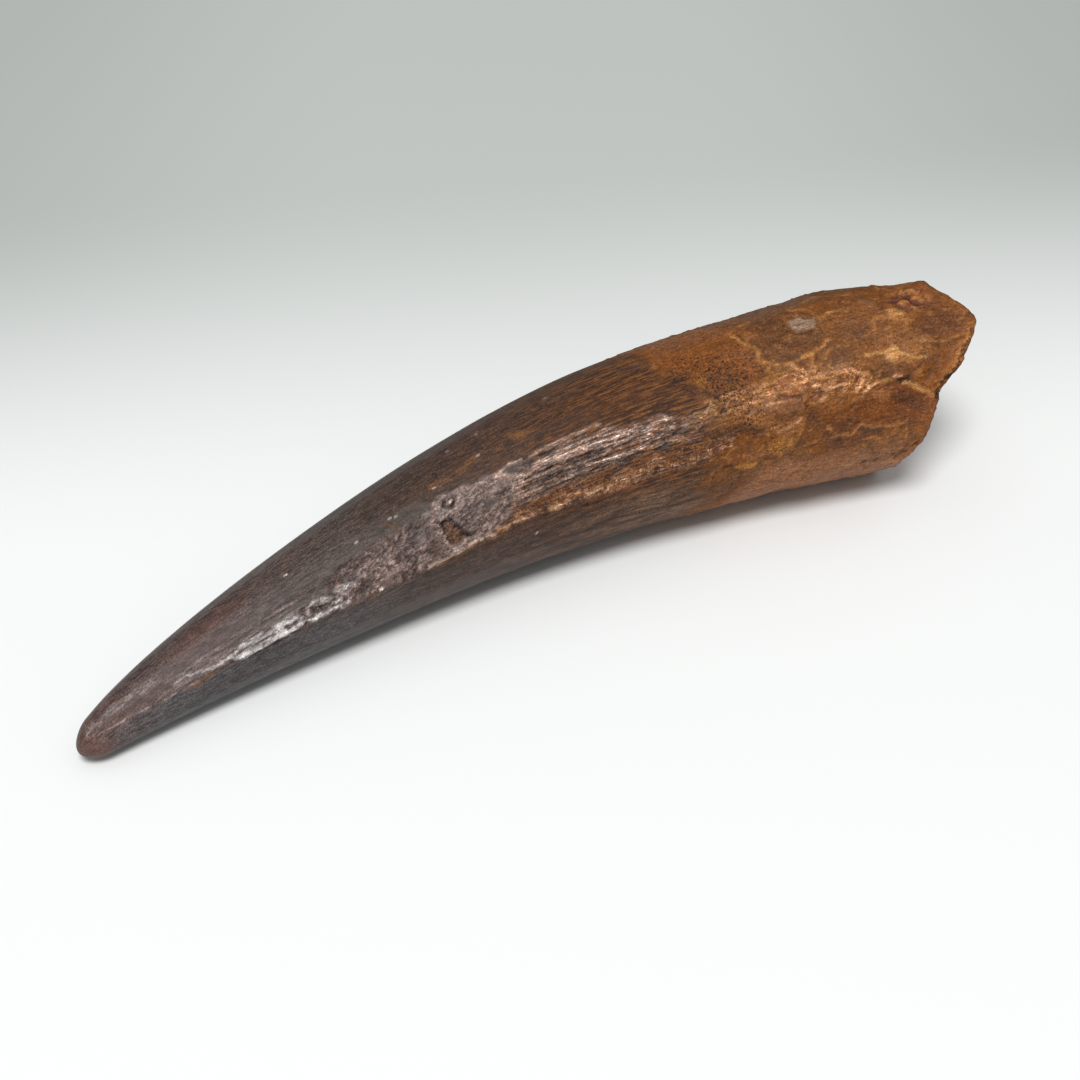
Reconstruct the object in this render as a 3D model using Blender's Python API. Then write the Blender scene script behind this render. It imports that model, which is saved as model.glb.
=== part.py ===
"""A fossil Spinosaurus tooth, one solid: a long blunt crown on a root that broke off.

It lies on its side on the surface z = 0. X runs from the tip to the root, the convex side of its
curve faces +Y, and the origin is the middle of the footprint of its bounding box.
"""

import math

import bmesh
import bpy
import numpy as np
from mathutils import Vector, noise

MM = 0.001

# Driving dimensions, in millimetres. A distance runs along the curved axis, from the tip.
LENGTH = 154.0
CROWN_LENGTH = 106.0
ROOT_RADIUS = 15.7
TIP_RADIUS = 2.4
TIP_LENGTH = 3.0
TIP_REACH = 0.4

# The axis lies flat: its heading from +X towards +Y, in degrees, at some distances.
BEND = ((0.0, 17.0), (14.0, 12.0), (28.0, 9.5), (55.0, 6.5), (82.0, 0.5), (110.0, -7.0), (LENGTH, -12.6))

# The radius at some distances, as a share of ROOT_RADIUS. The tip is rounded off separately.
GIRTH = (
    (0.0, TIP_RADIUS / ROOT_RADIUS),
    (7.0, 0.245),
    (18.0, 0.355),
    (40.0, 0.53),
    (66.0, 0.705),
    (91.0, 0.84),
    (117.0, 0.92),
    (142.0, 0.99),
    (LENGTH, 1.0),
)

# An angle round the axis is in degrees: 0 faces +Y, 90 up, 180 the concave side, 270 down.
# Where the root broke off: the distance of the break's edge at some angles.
BREAK = (
    (0.0, 143.0),
    (45.0, 145.0),
    (65.0, 146.6),
    (80.0, 148.6),
    (100.0, 151.2),
    (117.0, 153.5),
    (140.0, 149.7),
    (158.0, 145.0),
    (180.0, 143.4),
    (214.0, 140.3),
    (265.0, 141.5),
    (310.0, 140.0),
    (360.0, 143.0),
)
BREAK_DISH = 1.8
BREAK_ROUGHNESS = 1.1

# Two keels are the cutting edges of the crown: distance and angle along each.
FRONT_KEEL = (
    (0.0, 128.0),
    (5.6, 138.0),
    (12.0, 143.0),
    (16.3, 146.0),
    (24.0, 153.0),
    (32.0, 156.0),
    (50.0, 161.0),
    (75.0, 159.0),
    (CROWN_LENGTH, 164.0),
)
BACK_KEEL = ((0.0, 330.0), (40.0, 338.0), (CROWN_LENGTH, 344.0))
KEEL_HEIGHT = 0.5

# Along the front keel the enamel has flaked off, which leaves a sunken strip: distance, angle of
# its middle, and half its width in degrees.
FLAKE = (
    (24.0, 152.0, 2.0),
    (31.0, 149.0, 6.0),
    (40.0, 146.0, 14.0),
    (50.0, 140.0, 22.0),
    (60.0, 139.0, 22.0),
    (70.0, 138.0, 20.0),
    (82.0, 141.0, 18.0),
    (94.0, 147.0, 14.0),
    (108.0, 151.0, 3.0),
)
FLAKE_DEPTH = 0.5

# Furrows: first and last distance, angle at each, depth and half width in millimetres.
FURROWS = (
    (60.0, 112.0, 122.0, 133.0, 0.40, 0.9),
    (70.0, 110.0, 135.0, 142.0, 0.60, 1.0),
    (78.0, 112.0, 164.0, 177.0, 0.50, 1.1),
    (50.0, 92.0, 186.0, 196.0, 0.30, 1.2),
    (24.0, 84.0, 44.0, 32.0, 0.30, 1.3),
    (64.0, 124.0, 12.0, 358.0, 0.45, 1.3),
    (80.0, 116.0, 306.0, 318.0, 0.40, 1.3),
    (118.0, 141.0, 206.0, 199.0, 0.60, 1.2),
    (112.0, 140.0, 250.0, 262.0, 0.50, 1.2),
)

# Lumps and hollows: distance, angle, how far it stands out, and its half width in millimetres.
SPOTS = (
    (140.5, 84.0, -1.3, 3.2),
    (145.8, 58.0, -0.7, 2.6),
    (148.6, 82.0, 0.9, 2.2),
    (149.8, 95.0, 0.5, 2.0),
    (124.0, 133.0, -0.5, 2.6),
    (131.0, 128.0, 0.6, 3.0),
    (116.0, 140.0, 0.5, 3.4),
    (137.0, 150.0, 0.4, 4.0),
    (128.0, 18.0, -0.8, 4.0),
    (137.0, 330.0, 0.7, 4.0),
    (121.0, 222.0, -0.6, 3.2),
    (134.0, 290.0, -0.7, 3.6),
)

# Flutes run down the crown all the way round.
FLUTE_COUNT = 15
FLUTE_DEPTH = 0.13

# On the upper back the end of the root has worn away.
WORN_ANGLE = 52.0
WORN_SPREAD = 44.0
WORN_FROM = 130.0
WORN_LENGTH = 15.0
WORN_DEPTH = 1.5

ROOT_LUMPS = 0.55
LUMP_SIZE = 10.0

# The mesh: columns round the axis, rings over the tip's rounding, down the side, across the break.
COLUMNS = 88
TIP_RINGS = 5
SIDE_RINGS = 46
BREAK_RINGS = 7
AXIS_STEPS = 400


def through(stations, at):
    """A smooth curve through (x, y) stations that makes no bumps of its own between them."""
    x, y = np.array(stations, float).T[:2]
    at = np.clip(at, x[0], x[-1])
    width = np.diff(x)
    slope = np.diff(y) / width
    product = slope[:-1] * slope[1:]
    total = np.where(product > 0, slope[:-1] + slope[1:], 1.0)
    tangent = np.concatenate([slope[:1], np.where(product > 0, 2 * product / total, 0.0), slope[-1:]])
    i = np.clip(np.searchsorted(x, at, side="right") - 1, 0, len(width) - 1)
    t = (at - x[i]) / width[i]
    return (
        (2 * t**3 - 3 * t**2 + 1) * y[i]
        + (t**3 - 2 * t**2 + t) * width[i] * tangent[i]
        + (3 * t**2 - 2 * t**3) * y[i + 1]
        + (t**3 - t**2) * width[i] * tangent[i + 1]
    )


def ramp(value, low, high):
    """0 below low, 1 above high, and smooth between them."""
    t = np.clip((value - low) / (high - low), 0.0, 1.0)
    return t * t * (3 - 2 * t)


def turn_from(angle, middle):
    """How far an angle is from another, in degrees, the short way round."""
    return (angle - middle + 180.0) % 360.0 - 180.0


def ripple(points, size, octaves=2):
    """Smooth noise from about -1 to 1 at each point, with lumps of this size in millimetres."""
    return np.array([noise.fractal(Vector(p) / size, 1.0, 2.0, octaves) for p in points])


def axis_at(distance):
    """X, Y and the heading in radians of the axis at each distance."""
    steps = np.linspace(0.0, LENGTH, AXIS_STEPS)
    heading = np.radians(through(BEND, steps))
    middle = (heading[1:] + heading[:-1]) / 2
    x = np.concatenate([[0.0], np.cumsum(np.cos(middle))]) * steps[1]
    y = np.concatenate([[0.0], np.cumsum(np.sin(middle))]) * steps[1]
    return [np.interp(distance, steps, values) for values in (x, y, heading)]


def base_radius(distance):
    return ROOT_RADIUS * through(GIRTH, distance)


def keel(distance, angle, line):
    """A keel with a flat on each side of it, fading out where the root begins."""
    off = np.abs(turn_from(angle, through(line, distance)))
    edge = np.exp(-off / 9.0) - 0.5 * np.exp(-(((off - 30.0) / 18.0) ** 2))
    along = ramp(distance, 2.0, 16.0) * (1 - ramp(distance, 75.0, CROWN_LENGTH))
    return KEEL_HEIGHT * edge * along


def flake(distance, angle):
    """1 within the flaked strip, 0 outside it."""
    middle = through([(row[0], row[1]) for row in FLAKE], distance)
    half = through([(row[0], row[2]) for row in FLAKE], distance)
    inside = 1 - np.abs(turn_from(angle, middle)) / half
    along = (distance > FLAKE[0][0]) & (distance < FLAKE[-1][0])
    return ramp(inside, 0.0, 0.3) * along


def furrows(distance, angle, radius):
    """The depth of the furrows, each a groove that wanders from one angle to another."""
    depth = np.zeros_like(distance)
    for first, last, angle_first, angle_last, deep, width in FURROWS:
        share = np.clip((distance - first) / (last - first), 0.0, 1.0)
        middle = angle_first + (turn_from(angle_last, angle_first)) * share
        off = np.radians(turn_from(angle, middle)) * radius
        ends = ramp(share, 0.0, 0.25) * (1 - ramp(share, 0.75, 1.0))
        depth = np.maximum(depth, deep * ends * np.exp(-((off / width) ** 2)))
    return depth


def spots(distance, angle, radius):
    """Single lumps and hollows."""
    height = np.zeros_like(distance)
    for at, at_angle, out, size in SPOTS:
        across = np.radians(turn_from(angle, at_angle)) * radius
        height += out * np.exp(-(((distance - at) ** 2 + across**2) / size**2))
    return height


def relief(distance, angle):
    """How far the surface stands out from the round base form, in millimetres."""
    radius = base_radius(distance)
    crown = 1 - ramp(distance, CROWN_LENGTH - 14.0, CROWN_LENGTH + 4.0)
    turn = np.radians(angle)
    places = np.stack([distance * 0.6, radius * np.cos(turn), radius * np.sin(turn)], -1)
    flutes = FLUTE_DEPTH * np.cos(FLUTE_COUNT * turn) * ramp(distance, 10.0, 34.0) * crown
    lumps = ROOT_LUMPS * (1 - crown) * ripple(places, LUMP_SIZE)
    worn = WORN_DEPTH * ramp(distance, WORN_FROM, WORN_FROM + WORN_LENGTH)
    worn = worn * np.exp(-((turn_from(angle, WORN_ANGLE) / WORN_SPREAD) ** 2))
    raised = keel(distance, angle, FRONT_KEEL) + keel(distance, angle, BACK_KEEL) + flutes + lumps
    sunken = FLAKE_DEPTH * flake(distance, angle) + furrows(distance, angle, radius) + worn
    return raised + spots(distance, angle, radius) - sunken


def side_point(distance, angle):
    """The point of the side at each distance and angle, in millimetres."""
    x, y, heading = axis_at(distance)
    taper = base_radius(distance)
    to_tip = 1 - np.clip(distance / TIP_LENGTH, 0.0, 1.0)
    x -= TIP_REACH * to_tip**2 * np.cos(heading)
    y -= TIP_REACH * to_tip**2 * np.sin(heading)
    rounding = np.sqrt(1 - to_tip**2)
    radius = (taper + relief(distance, angle)) * rounding
    out = radius * np.cos(np.radians(angle))
    up = radius * np.sin(np.radians(angle))
    return np.stack([x - out * np.sin(heading), y + out * np.cos(heading), taper + up], -1)


def break_point(share, angle):
    """The point of the break: share is 1 at its edge and 0 at its middle."""
    middle_distance = float(np.mean(through(BREAK, np.arange(0.0, 360.0, 10.0))))
    x, y, heading = (float(value) for value in axis_at(middle_distance))
    middle = np.array([x, y, base_radius(middle_distance)])
    forward = np.array([math.cos(heading), math.sin(heading), 0.0])
    edge = side_point(through(BREAK, angle), angle) - middle
    along = edge @ forward
    across = (edge - along[:, None] * forward) * share[:, None]
    rough = BREAK_ROUGHNESS * ripple(middle + across, 7.0) * ramp(1 - share, 0.0, 0.3)
    height = along * share**1.6 - BREAK_DISH * (1 - share**2) + rough
    return middle + across + height[:, None] * forward


def tooth_mesh():
    """A sphere of rings and columns, whose vertices are then laid on the tooth."""
    mesh = bpy.data.meshes.new("tooth")
    shape = bmesh.new()
    rings = SIDE_RINGS + BREAK_RINGS
    bmesh.ops.create_uvsphere(shape, u_segments=COLUMNS, v_segments=rings, radius=1.0)
    shape.to_mesh(mesh)
    shape.free()

    sphere = np.array([vertex.co for vertex in mesh.vertices])
    ring = np.rint(np.arccos(np.clip(-sphere[:, 2], -1.0, 1.0)) / math.pi * rings)
    angle = np.degrees(np.arctan2(sphere[:, 1], sphere[:, 0])) % 360.0
    on_tip = TIP_LENGTH * (1 - np.cos(math.pi / 2 * np.clip(ring / TIP_RINGS, 0.0, 1.0)))
    share = np.clip((ring - TIP_RINGS) / (SIDE_RINGS - TIP_RINGS), 0.0, 1.0)
    distance = on_tip + share * (through(BREAK, angle) - on_tip)
    points = side_point(distance, angle)
    broken = ring > SIDE_RINGS
    points[broken] = break_point(1 - (ring[broken] - SIDE_RINGS) / BREAK_RINGS, angle[broken])

    low, high = points.min(0), points.max(0)
    points -= [(low[0] + high[0]) / 2, (low[1] + high[1]) / 2, low[2]]
    mesh.vertices.foreach_set("co", (points * MM).ravel())
    mesh.update()
    return mesh


def fossil_material():
    material = bpy.data.materials.new("fossil_tooth")
    material.use_nodes = True
    shader = material.node_tree.nodes["Principled BSDF"]
    shader.inputs["Base Color"].default_value = (0.13, 0.062, 0.034, 1.0)
    shader.inputs["Roughness"].default_value = 0.42
    shader.inputs["Metallic"].default_value = 0.0
    return material


def build():
    for old in list(bpy.data.objects):
        bpy.data.objects.remove(old)
    collection = bpy.data.collections.new("fossil_spinosaurus_tooth")
    bpy.context.scene.collection.children.link(collection)
    mesh = tooth_mesh()
    mesh.materials.append(fossil_material())
    mesh.shade_smooth()
    mesh.set_sharp_from_angle(angle=math.radians(45.0))
    collection.objects.link(bpy.data.objects.new("tooth", mesh))


build()
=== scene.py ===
"""The looks of a fossil Spinosaurus tooth: its fine surface, its colours, and a plain studio.

The tooth's form repeats the named values of its solid. Lengths are in millimetres. A place is a
distance along the tooth's curved axis from its tip, and an angle round that axis in degrees: 0 faces
+Y, the convex side, 90 up, 180 the concave side and 270 down.
"""

import math

import bmesh
import bpy
import numpy as np
from mathutils import Matrix, Vector, noise


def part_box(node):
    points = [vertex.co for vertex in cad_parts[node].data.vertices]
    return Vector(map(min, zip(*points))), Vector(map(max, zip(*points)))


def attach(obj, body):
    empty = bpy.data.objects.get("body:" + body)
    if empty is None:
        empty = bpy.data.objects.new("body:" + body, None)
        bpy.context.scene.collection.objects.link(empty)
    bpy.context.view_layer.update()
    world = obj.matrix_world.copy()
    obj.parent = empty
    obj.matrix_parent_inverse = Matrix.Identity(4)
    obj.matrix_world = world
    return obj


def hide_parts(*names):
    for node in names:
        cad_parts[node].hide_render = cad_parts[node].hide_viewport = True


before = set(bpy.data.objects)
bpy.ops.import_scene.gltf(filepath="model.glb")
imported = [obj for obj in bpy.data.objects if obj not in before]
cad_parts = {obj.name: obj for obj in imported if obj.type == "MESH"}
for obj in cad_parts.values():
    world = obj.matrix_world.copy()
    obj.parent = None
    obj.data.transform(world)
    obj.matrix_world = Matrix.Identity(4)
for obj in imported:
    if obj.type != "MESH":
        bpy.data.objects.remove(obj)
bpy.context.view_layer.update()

MM = 0.001

# ------------ the form, as in the solid
LENGTH = 154
CROWN_LENGTH = 106
ROOT_RADIUS = 15.7
TIP_RADIUS = 2.4
TIP_LENGTH = 3
TIP_REACH = 0.4
# By distance: the axis's heading in degrees, and the radius as a share of the root's.
BEND = ((0, 17), (14, 12), (28, 9.5), (55, 6.5), (82, 0.5), (110, -7), (LENGTH, -12.6))
GIRTH = (
    (0, TIP_RADIUS / ROOT_RADIUS), (7, 0.245), (18, 0.355), (40, 0.53), (66, 0.705), (91, 0.84),
    (117, 0.92), (142, 0.99), (LENGTH, 1),
)
# How far along the root is broken off, by angle.
BREAK = (
    (0, 143), (45, 145), (65, 146.6), (80, 148.6), (100, 151.2), (117, 153.5), (140, 149.7), (158, 145),
    (180, 143.4), (214, 140.3), (265, 141.5), (310, 140), (360, 143),
)
BREAK_DISH = 1.8
BREAK_ROUGHNESS = 1.1
# The keels' angles, by distance.
FRONT_KEEL = (
    (0, 128), (5.6, 138), (12, 143), (16.3, 146), (24, 153), (32, 156), (50, 161), (75, 159),
    (CROWN_LENGTH, 164),
)
BACK_KEEL = ((0, 330), (40, 338), (CROWN_LENGTH, 344))
KEEL_HEIGHT = 0.5
FLUTE_COUNT = 15
FLUTE_DEPTH = 0.05
WORN_ANGLE = 52
WORN_SPREAD = 44
WORN_FROM = 130
WORN_LENGTH = 15
WORN_DEPTH = 1.5
ROOT_LUMPS = 0.55
LUMP_SIZE = 10
# Lumps and hollows: distance, angle, height and width.
SPOTS = (
    (140.5, 84, -1.3, 3.2), (145.8, 58, -0.7, 2.6), (148.6, 82, 0.9, 2.2), (149.8, 95, 0.5, 2),
    (124, 133, -0.5, 2.6), (131, 128, 0.6, 3), (116, 140, 0.5, 3.4), (137, 150, 0.4, 4), (128, 18, -0.8, 4),
    (137, 330, 0.7, 4), (121, 222, -0.6, 3.2), (134, 290, -0.7, 3.6),
)

# ------------ marks on the surface
# Colours are red, green and blue in linear light. A point is a distance and an angle.
BLACK = (0.009, 0.006, 0.005)
# The next colour is for dark marks, and also for painted shade.
SOOT_AND_SHADE = (0.024, 0.015, 0.011)
TIP_RED = (0.12, 0.059, 0.048)
# The next colour is painted shade, for the tip's dark wedge.
WEDGE_SHADE = (0.056, 0.034, 0.03)
RUST = (0.19, 0.08, 0.026)
RUST_DARK = (0.08, 0.034, 0.017)
STREAK_ORANGE = (0.19, 0.068, 0.015)
STREAK_DARK = (0.026, 0.013, 0.008)
LOW_STREAK = (0.17, 0.098, 0.062)
OLIVE = (0.05, 0.036, 0.026)
GLINT = (0.62, 0.58, 0.56)
GLINT_PINK = (0.56, 0.385, 0.31)
SILVER = (0.34, 0.31, 0.3)
SHEEN = (0.22, 0.176, 0.166)
SHEEN_BROWN = (0.09, 0.064, 0.055)
PINK_GREY = (0.29, 0.205, 0.18)
PATCH_GREY = (0.128, 0.085, 0.075)
DARK_GRAIN = (0.05, 0.031, 0.026)
# The next colour is for painted highlights on the fibres' crests and the keel.
FIBRE_GLINT = (0.42, 0.28, 0.225)
FIBRE_PINK = (0.125, 0.062, 0.04)
FIBRE_DARK = (0.05, 0.023, 0.015)
GREY_CHIP = (0.052, 0.043, 0.038)
BAND_ORANGE = (0.128, 0.046, 0.017)
SPECK_WHITE = (0.7, 0.62, 0.54)
ROOT_BROWN = (0.158, 0.055, 0.009)
ROOT_OCHRE = (0.19, 0.064, 0.007)
ROOT_GREY = (0.1, 0.042, 0.015)
ROOT_LOW = (0.262, 0.116, 0.052)
OCHRE = (0.185, 0.062, 0.01)
YELLOW = (0.33, 0.145, 0.026)
VEIN = (0.42, 0.195, 0.055)
PALE_OCHRE = (0.62, 0.33, 0.12)
WARM_GLINT = (0.78, 0.42, 0.22)
SMEAR = (0.25, 0.104, 0.032)
PALE_CHIP = (0.26, 0.175, 0.125)
PINK_BROWN = (0.24, 0.118, 0.066)
# The next colour is for painted glints.
GLINT_PALE = (0.48, 0.26, 0.14)
SCAR = (0.29, 0.114, 0.044)
DARK_RED = (0.07, 0.021, 0.01)
RED_LUMP = (0.2, 0.064, 0.028)
LENS_BROWN = (0.15, 0.048, 0.009)
LENS_RED = (0.095, 0.034, 0.013)
PURPLE = (0.118, 0.042, 0.013)
BREAK_TAN = (0.34, 0.12, 0.028)
# What the root's red, green and blue are multiplied by.
ROOT_WARMTH = (1.02, 0.93, 0.84)

# The crown's colour at some distances from the tip.
CROWN_TONES = (
    (0, (0.116, 0.066, 0.055)),
    (10, (0.099, 0.066, 0.06)),
    (25, (0.079, 0.052, 0.046)),
    (42, (0.07, 0.05, 0.043)),
    (60, (0.048, 0.026, 0.017)),
    (76, (0.052, 0.023, 0.013)),
    (92, (0.069, 0.022, 0.005)),
    (LENGTH, (0.062, 0.021, 0.007)),
)

# The same for the face below the front keel: its own colour with a painted grey reflection of the floor.
LOW_TONES_AND_REFLECTION = (
    (0, (0.132, 0.088, 0.082)),
    (5, (0.094, 0.075, 0.073)),
    (18, (0.065, 0.06, 0.063)),
    (42, (0.063, 0.053, 0.052)),
    (55, (0.063, 0.041, 0.034)),
    (75, (0.06, 0.032, 0.023)),
    (83, (0.052, 0.027, 0.019)),
    (93, (0.108, 0.058, 0.033)),
    (LENGTH, (0.082, 0.044, 0.026)),
)

# Where the enamel came off along the front keel: a bright strip with softer zones above and before
# it, loose pieces, a grainy patch, long fibres and an orange band.
STRIP = (
    (23.2, 145), (24.2, 153), (26, 157.5), (28.5, 157), (31.3, 156.5), (33, 157), (34.4, 156), (35.1, 150),
    (35, 144), (34.6, 140), (33.3, 137), (31.3, 138), (29, 140), (27, 141), (24.9, 140), (23.6, 142),
)
ABOVE_STRIP = (
    (23, 141), (25, 135), (27.7, 131), (31, 129), (33.6, 128), (35.5, 130), (35.2, 140), (30, 142),
)
RAGGED = ((14.4, 140), (15.5, 131), (18, 126), (21.5, 124), (23.5, 132), (23.2, 145), (20, 149), (17, 148))
PIECES = (
    (36.3, 140), (38, 138.5), (39.8, 141), (41.1, 143.5), (42.7, 147), (43, 153), (42.2, 158), (40.4, 156),
    (39, 156.5), (38.2, 158), (37.3, 156.5), (35.8, 157.5), (35.8, 150), (36, 144),
)
PATCH = (
    (40.7, 159), (42.3, 160), (45.6, 159.5), (48.1, 162), (52.1, 162), (55.9, 161), (59.2, 160),
    (62.5, 158.5), (64.2, 158), (68, 156), (70.5, 152), (72.3, 146.5), (73.3, 136), (73, 127),
    (70.9, 119.5), (68.4, 117), (66, 117.5), (63, 115.5), (60.7, 114), (58.5, 118), (55.5, 118),
    (51.3, 120), (47.3, 122), (43.4, 121), (41.5, 128), (40.5, 137), (42, 146), (43.5, 152),
)
FIBRES = (
    (72.5, 128), (73.5, 122), (77, 121), (83, 120), (88.4, 122), (93.3, 125), (98.4, 128), (103.2, 132),
    (107, 134), (109.5, 139), (106.5, 146), (103, 148), (98, 147), (89, 146.5), (82.8, 146), (76, 146),
    (71, 146.5),
)
# The fibres lie between these two lines, so many ridges side by side.
FIBRE_TOP = ((70, 118), (83, 120), (93, 125), (103, 132), (110, 136))
FIBRE_LOW = ((70, 146), (90, 146), (98, 146.5), (110, 148))
FIBRE_COUNT = 8
BAND = (
    (71, 148), (76, 147.5), (82, 147.5), (90, 148), (98, 148.5), (105, 149), (110, 150), (109, 158),
    (103.3, 166), (98.4, 165.5), (93.1, 165.5), (88.2, 165), (84.1, 162.5), (78.4, 160.5), (74.1, 157.5),
    (70.7, 156.5),
)

# How far along the crown ends and the root begins, at some angles.
ROOT_EDGE = (
    (0, 100), (22, 94), (42, 99), (60, 99), (85, 101), (99, 103), (110, 105), (125, 106), (134, 108),
    (144, 107), (152, 106), (160, 104), (168, 105), (178, 104), (192, 104), (220, 102), (245, 96),
    (268, 103), (290, 97), (315, 104), (340, 96), (360, 100),
)

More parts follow.
